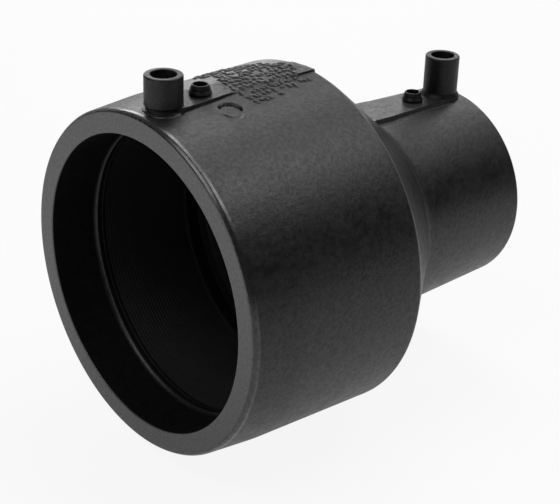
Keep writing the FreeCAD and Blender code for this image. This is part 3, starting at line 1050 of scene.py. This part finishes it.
@dataclass(frozen=True)
class RaisedMarks:
    """Rows of small plain raised strokes, where such fittings carry a block of relief."""

    body: MouldedBody
    name: str
    rows: tuple[Triple, ...]
    step: float = 2.3
    length: Pair = (0.8, 1.3)
    width: Pair = (0.48, 0.66)
    rise: float = 0.55
    seed: int = 11
    upright_share: float = 0.62
    upright_turn: Pair = (1.1, 2.5)
    lying_turn: Pair = (-0.7, 0.7)
    lying_scale: float = 0.7
    stray_along: float = 0.5
    stray_across: float = 0.6
    kept_share: float = 0.93
    corner: float = 0.45

    def layout(self) -> Array:
        """Centre, half sizes and turn of every stroke.

        Returns:
            For each stroke its x, y, half length, half width and turn from the x axis.
        """
        draw = np.random.default_rng(self.seed)
        strokes = []
        for y, start, end in self.rows:
            x = np.arange(start, end, self.step)
            count = len(x)
            upright = draw.random(count) < self.upright_share
            turn = np.where(upright, draw.uniform(*self.upright_turn, count),
                            draw.uniform(*self.lying_turn, count))
            length = draw.uniform(*self.length, count) * np.where(upright, 1.0, self.lying_scale)
            width = draw.uniform(*self.width, count)
            across = y + draw.uniform(-self.stray_across, self.stray_across, count)
            x = x + draw.uniform(-self.stray_along, self.stray_along, count)
            rows = np.stack([x, across, length, width, turn], axis=1)
            strokes.append(rows[draw.random(count) < self.kept_share])
        return np.concatenate(strokes)

    def build(self, finishes: Finishes) -> Object:
        """Make the strokes as eight-sided domes on rounded rectangles.

        Each stroke has rings of eight points at four levels. With the half sizes a and b and the
        level's scale k, a ring's points are k (a |cos t|^q, b |sin t|^q) with the signs of cos t and
        sin t, turned in plan. Their height is the moulding's own height there plus the level.

        Args:
            finishes: The materials.

        Returns:
            The piece.
        """
        strokes, sides = self.layout(), 8
        turn = (np.arange(sides) + 0.5) * math.tau / sides
        levels = np.array([-0.4, 0.0, 0.7 * self.rise, self.rise])
        scale = np.array([1.75, 1.55, 1.05, 0.45])
        circle = np.stack([np.cos(turn), np.sin(turn)], axis=-1)
        square = np.sign(circle) * np.abs(circle) ** self.corner
        offset = strokes[:, None, None, 2:4] * square * scale[:, None, None]
        cosine, sine = np.cos(strokes[:, 4, None, None]), np.sin(strokes[:, 4, None, None])
        x = strokes[:, None, None, 0] + offset[..., 0] * cosine - offset[..., 1] * sine
        y = strokes[:, None, None, 1] + offset[..., 0] * sine + offset[..., 1] * cosine
        z = self.body.top_height(x, y, self.body.plain_radius(x)) + levels[:, None]
        points = np.stack([x, y, z], axis=-1).reshape(-1, 3)
        ring = np.arange(sides)
        side = np.stack([ring, (ring + 1) % sides, (ring + 1) % sides + sides, ring + sides], axis=-1)
        upper = len(levels) - 1
        walls = np.concatenate([side + sides * level for level in range(upper)])
        base = np.array([[0, 7, 6, 1], [1, 6, 5, 2], [2, 5, 4, 3]])
        stroke = np.concatenate([walls, base, base[:, ::-1] + sides * upper])
        first = sides * len(levels) * np.arange(len(strokes))
        faces = (stroke + first[:, None, None]).reshape(-1, 4)
        item = polygon_mesh(self.name, points, faces)
        return settle(item, Slot.BODY, finishes.skin)


# Each row's place across, and where it starts and ends along the pipe axis.
LARGE_ROWS = (
    (24.2, 43.0, 58.0), (21.0, 42.0, 61.0), (17.8, 42.5, 63.5), (14.6, 46.0, 67.0), (11.4, 45.0, 70.0),
    (8.2, 43.5, 71.5), (5.0, 42.5, 72.0), (1.8, 41.0, 72.5), (-1.4, 40.0, 71.0), (-4.6, 39.5, 68.0),
    (-7.8, 40.0, 66.0), (-10.4, 65.0, 70.5), (-11.0, 40.5, 62.5), (-14.2, 41.0, 54.0))


def dress_pins(finishes: Finishes) -> None:
    """Give the contact and indicator pins, which keep their solids, their materials.

    Args:
        finishes: The materials.
    """
    for name, node in frame["nodes"].items():
        if name.startswith("terminal_pin"):
            settle(node, Slot.BRASS, finishes.brass)
        elif name.startswith("indicator_pin"):
            settle(node, Slot.INDICATOR, finishes.indicator)


# ---- The studio

@dataclass(frozen=True)
class PhotoCamera:
    """Camera at the photograph's own place and angle, with the photograph's lens."""

    place: Triple = (-272.194, -379.096, 243.332)
    azimuth: float = 41.873
    elevation: float = 26.139
    roll: float = 2.065
    focal_pixels: float = 1459.39
    image_width: float = 560.0

    def build(self) -> None:
        """Place the camera, and turn it about its view direction by the roll."""
        roll = math.radians(self.roll)
        ahead, level = direction(self.azimuth, -self.elevation), direction(self.azimuth + 90)
        above = level.cross(ahead)
        right = math.cos(roll) * level + math.sin(roll) * above
        up = -math.sin(roll) * level + math.cos(roll) * above
        data = bpy.data.cameras.new("photo_camera")
        data.lens = self.focal_pixels / self.image_width * data.sensor_width
        data.clip_start, data.clip_end = 0.01, 50.0
        item = new_object("photo_camera", data)
        turn = Matrix((right, up, -ahead)).transposed().to_4x4()
        item.matrix_world = Matrix.Translation(Vector(self.place) * MM) @ turn
        bpy.context.scene.camera = item


@dataclass(frozen=True)
class SoftLight:
    """A rectangular soft light that faces the middle of the object.

    Its heading is counted clockwise from the camera's own, seen from above.
    """

    name: str
    heading: float
    elevation: float
    width: float
    height: float
    power: float
    distance: float = 0.9

    def build(self, middle: Vector) -> None:
        """Place the light along its direction from the middle, facing back.

        Args:
            middle: The point that it faces.
        """
        data = bpy.data.lights.new(self.name, "AREA")
        data.shape = "RECTANGLE"
        data.size, data.size_y, data.energy = self.width, self.height, self.power
        item = new_object(self.name, data)
        away = direction(PhotoCamera.azimuth + self.heading, self.elevation)
        item.location = middle + away * self.distance
        item.rotation_mode = "QUATERNION"
        item.rotation_quaternion = away.to_track_quat("Z", "Y")


@dataclass(frozen=True)
class Studio:
    """Pale floor, white surround and soft lights."""

    lights: tuple[SoftLight, ...] = (
        SoftLight("high_front_left", 225.0, 57.0, 0.55, 0.32, 2.17),
        SoftLight("high_right", 90.0, 60.0, 0.42, 0.24, 1.69),
        SoftLight("high_behind", 0.0, 60.0, 0.42, 0.24, 1.63),
        SoftLight("strip_left_behind", 335.0, 27.0, 0.40, 0.08, 1.35),
        SoftLight("strip_behind", 0.0, 27.0, 0.50, 0.08, 0.12),
        SoftLight("low_front_left", 225.0, 16.0, 0.42, 0.24, 1.02),
        SoftLight("strip_right_behind", 25.0, 27.0, 0.40, 0.08, 0.62),
        SoftLight("top_right_behind", 45.0, 75.0, 0.42, 0.24, 0.77),
        SoftLight("low_behind", 0.0, 8.0, 0.42, 0.16, 0.73),
        SoftLight("right", 90.0, 45.0, 0.42, 0.24, 0.59),
        SoftLight("right_behind", 45.0, 45.0, 0.42, 0.24, 0.41),
    )
    mirrored_wall: float = 0.4
    wall_fade: Pair = (0.2, 0.9)
    drop: float = 0.0002
    reach: float = 6.0

    def floor(self) -> None:
        """Make the floor just under the widest part of the object."""
        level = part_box("fitting_body")[0].z - self.drop
        mesh = bpy.data.meshes.new("floor")
        signs = ((-1, -1), (1, -1), (1, 1), (-1, 1))
        corners = [(x * self.reach, y * self.reach, level) for x, y in signs]
        mesh.from_pydata(corners, [], [(0, 1, 2, 3)])
        mesh.materials.append(PaleFloor().material())
        item = new_object("floor", mesh)

    def surroundings(self) -> None:
        """Make the surround: white where the camera sees it, and dark as a lamp.

        A gloss mirrors it as a white wall behind the object that fades out to the sides.
        """
        world = bpy.data.worlds.new("surround")
        world.use_nodes = True
        board = NodeBoard(world.node_tree)
        place = board.add("ShaderNodeTexCoord").outputs["Generated"]
        behind = board.along(place, direction(PhotoCamera.azimuth))
        wall = board.span(behind, *self.wall_fade, 0.0, self.mirrored_wall)
        strength = backdrop_share(board, 1.0, wall)
        light = board.add("ShaderNodeBackground", Color=(1.0, 1.0, 1.0, 1.0), Strength=strength)
        board.add("ShaderNodeOutputWorld", Surface=light.outputs[0])
        bpy.context.scene.world = world

    def build(self) -> None:
        """Make the floor, the surround and the lights."""
        self.floor()
        self.surroundings()
        low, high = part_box("fitting_body")
        for light in self.lights:
            light.build((low + high) / 2)


def main() -> None:
    """Build the studio and every piece, and report each."""
    logging.basicConfig(level=logging.INFO, format="%(name)s: %(message)s")
    bpy.context.scene.view_settings.view_transform = "Standard"
    PhotoCamera().build()
    finishes = Finishes()
    body = MouldedBody()
    makers = [body, RaisedMarks(body, "relief_large", LARGE_ROWS)]
    for end in (LARGE, SMALL):
        makers += [Shroud(end), IndicatorBoss(end), Winding(end)]
    for maker in makers:
        item = maker.build(finishes)
        LOG.info("%s: %d faces", item.name, len(item.data.polygons))
    dress_pins(finishes)
    Studio().build()


if __name__ == "__main__":
    main()
